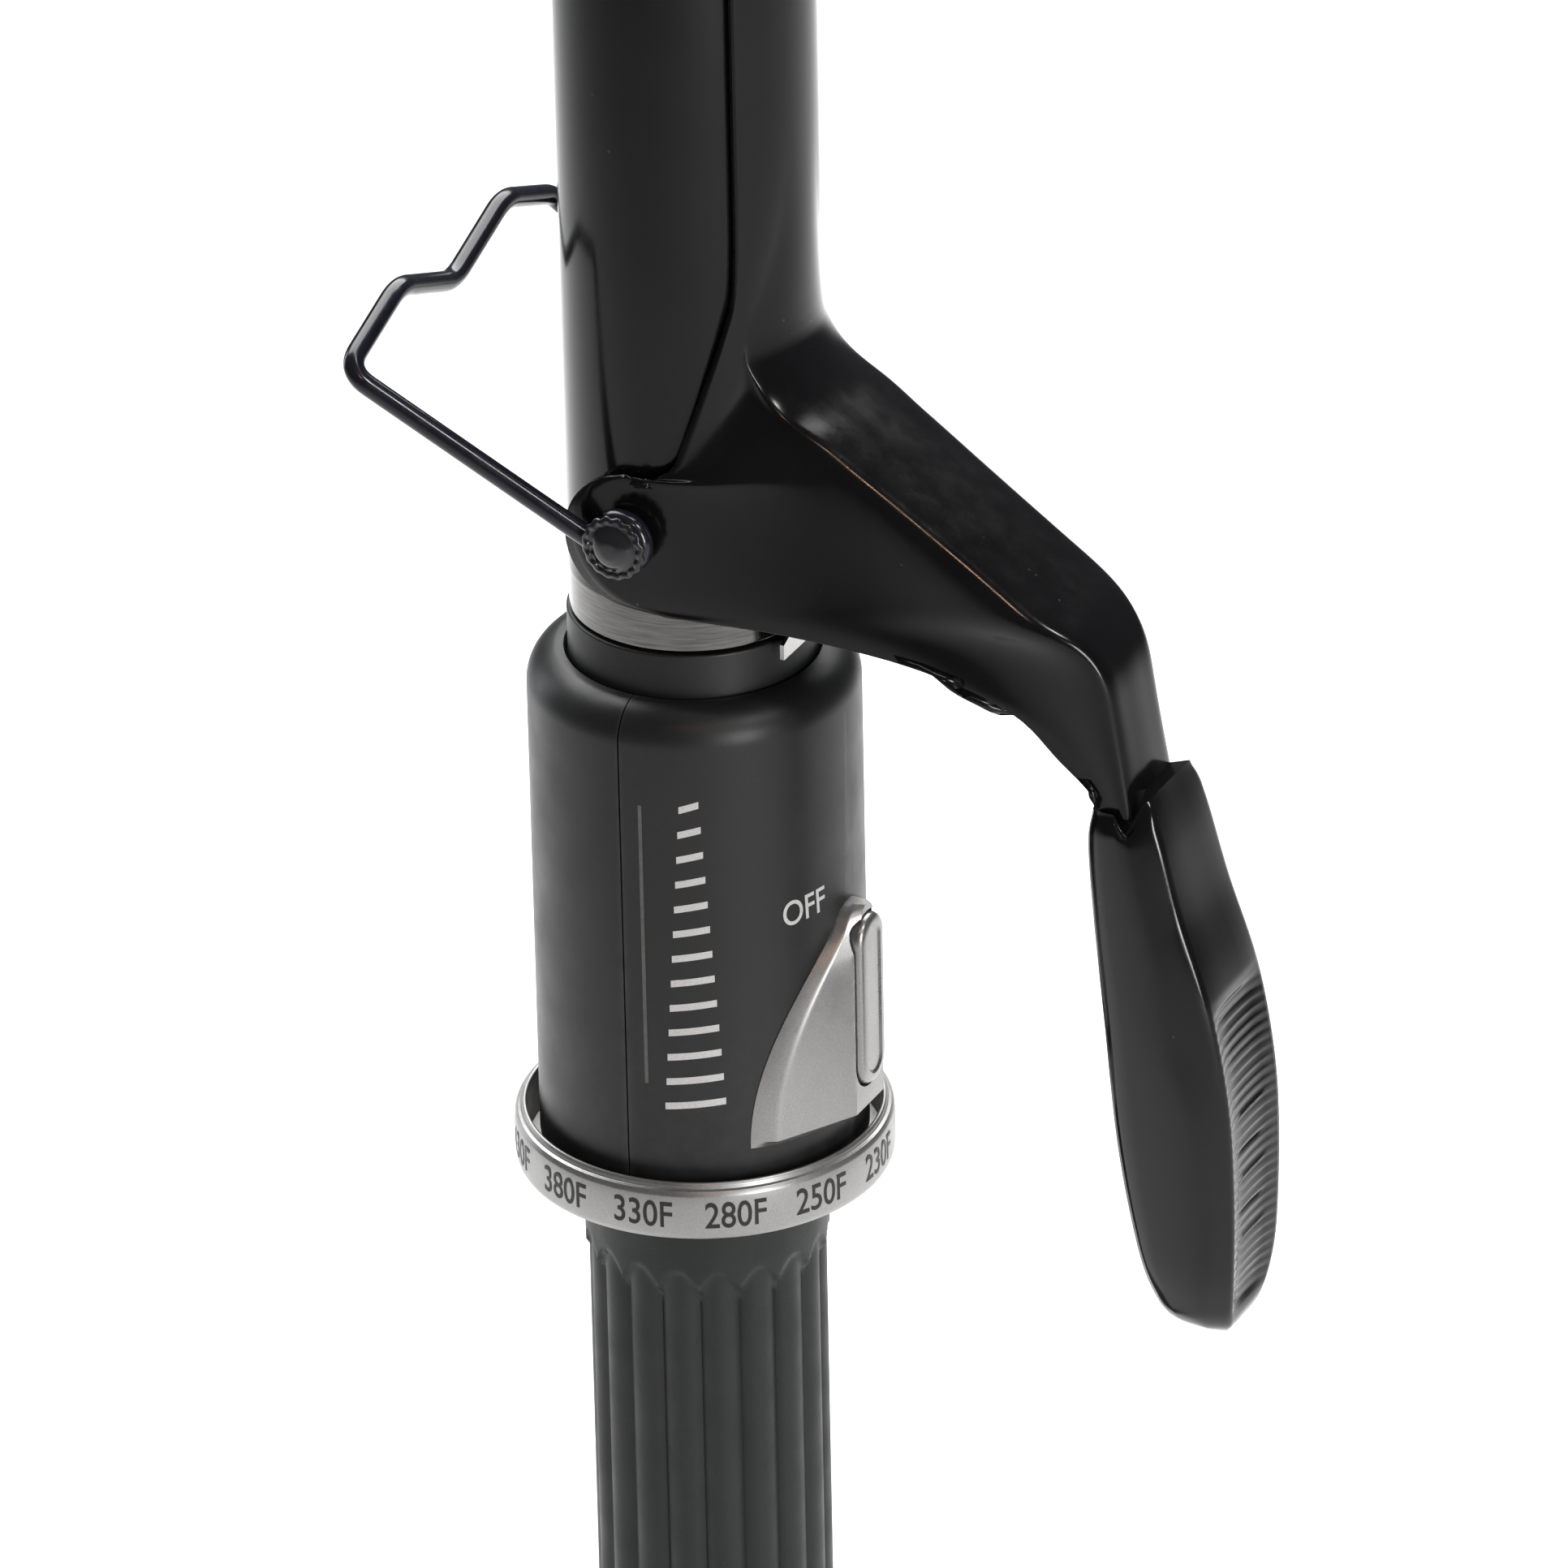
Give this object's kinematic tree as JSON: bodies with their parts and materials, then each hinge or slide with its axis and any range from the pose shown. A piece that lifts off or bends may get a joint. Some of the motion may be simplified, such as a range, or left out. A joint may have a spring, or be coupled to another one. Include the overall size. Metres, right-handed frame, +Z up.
{
  "type": "curling iron",
  "caption": "Spring-clamp curling iron with a heated barrel, thumb lever, folding wire stand, heat dial, power switch and turning cord inlet.",
  "frame": {"origin": "middle of the hand grip, on the iron's axis", "axes": "+Z up the barrel to the cool tip, +X to the thumb lever and the switch, -X to the wire stand, -Y the side the picture shows"},
  "size_m": [0.1162, 0.0596, 0.3728],
  "materials": {
    "barrel_enamel": "glossy black ceramic enamel",
    "gloss_black": "glossy black moulding",
    "matte_black": "fine matt black moulding",
    "soft_black": "soft matt black, fluted",
    "satin_silver": "satin silver metallic paint",
    "steel": "bright steel, rivet heads blackened",
    "coated_wire": "blue-black coated steel wire",
    "aluminium": "plain extruded",
    "white_ceramic": "fired white ceramic",
    "brass": "plain",
    "circuit_board": "green glass-fibre laminate",
    "component": "black moulding",
    "capacitor_red": "dipped red",
    "red_lead": "insulated lead",
    "white_lead": "insulated lead"
  },
  "bodies": {
    "handle": {"barrel_tube": "barrel_enamel", "tip_insulator": "white_ceramic", "cool_tip": "gloss_black", "tip_screw": "steel", "heater_block_front": "aluminium", "heater_block_rear": "aluminium", "ceramic_heater": "white_ceramic", "thermal_fuse": "aluminium", "temperature_sensor": "component", "neck_collar": "matte_black", "housing_front": "matte_black", "housing_rear": "matte_black", "housing_screw_1": "steel", "housing_screw_2": "steel", "switch_body": "component", "switch_bezel": "satin_silver", "dial_board": "circuit_board", "core_tube": "matte_black", "handle_grip": "soft_black", "end_cap": "matte_black", "brush_holder": "component", "contact_brush_1": "brass", "contact_brush_2": "brass", "control_board": "circuit_board", "film_capacitor": "capacitor_red", "triac": "component", "control_chip": "component", "heater_lead_live": "red_lead", "heater_lead_neutral": "white_lead", "mains_lead_live": "red_lead", "mains_lead_neutral": "white_lead", "pivot_rivet_near": "steel", "pivot_rivet_far": "steel", "clamp_spring": "steel"},
    "clamp": {"clamp": "barrel_enamel", "thumb_rest": "gloss_black"},
    "stand": {"stand_wire": "coated_wire"},
    "dial": {"dial_ring": "satin_silver", "dial_wiper": "brass"},
    "rocker": {"switch_rocker": "satin_silver"},
    "swivel": {"swivel_socket": "matte_black", "swivel_clip": "steel", "slip_ring_1": "brass", "slip_ring_2": "brass"}
  },
  "joints": [
    {"name": "clamp_pivot", "type": "hinge", "parent": "handle", "child": "clamp", "pos_m": [0, 0, 0.1495], "axis": [0, 1, 0], "range_deg": [0, 22], "stiffness_Nm_per_rad": 0.6, "springref_deg": -28.65, "deforming": ["clamp_spring"]},
    {"name": "stand_pivot", "type": "hinge", "parent": "handle", "child": "stand", "pos_m": [0, 0, 0.1495], "axis": [0, 1, 0], "range_deg": [-80, 28]},
    {"name": "dial_turn", "type": "hinge", "parent": "handle", "child": "dial", "pos_m": [0, 0, 0.0505], "axis": [0, 0, 1], "range_deg": [0, 142]},
    {"name": "power_switch", "type": "hinge", "parent": "handle", "child": "rocker", "pos_m": [0.0175, 0, 0.0789], "axis": [0, 1, 0], "range_deg": [-3, 3]},
    {"name": "cord_swivel", "type": "hinge", "parent": "handle", "child": "swivel", "pos_m": [0, 0, -0.0596], "axis": [0, 0, 1], "continuous": true}
  ]
}
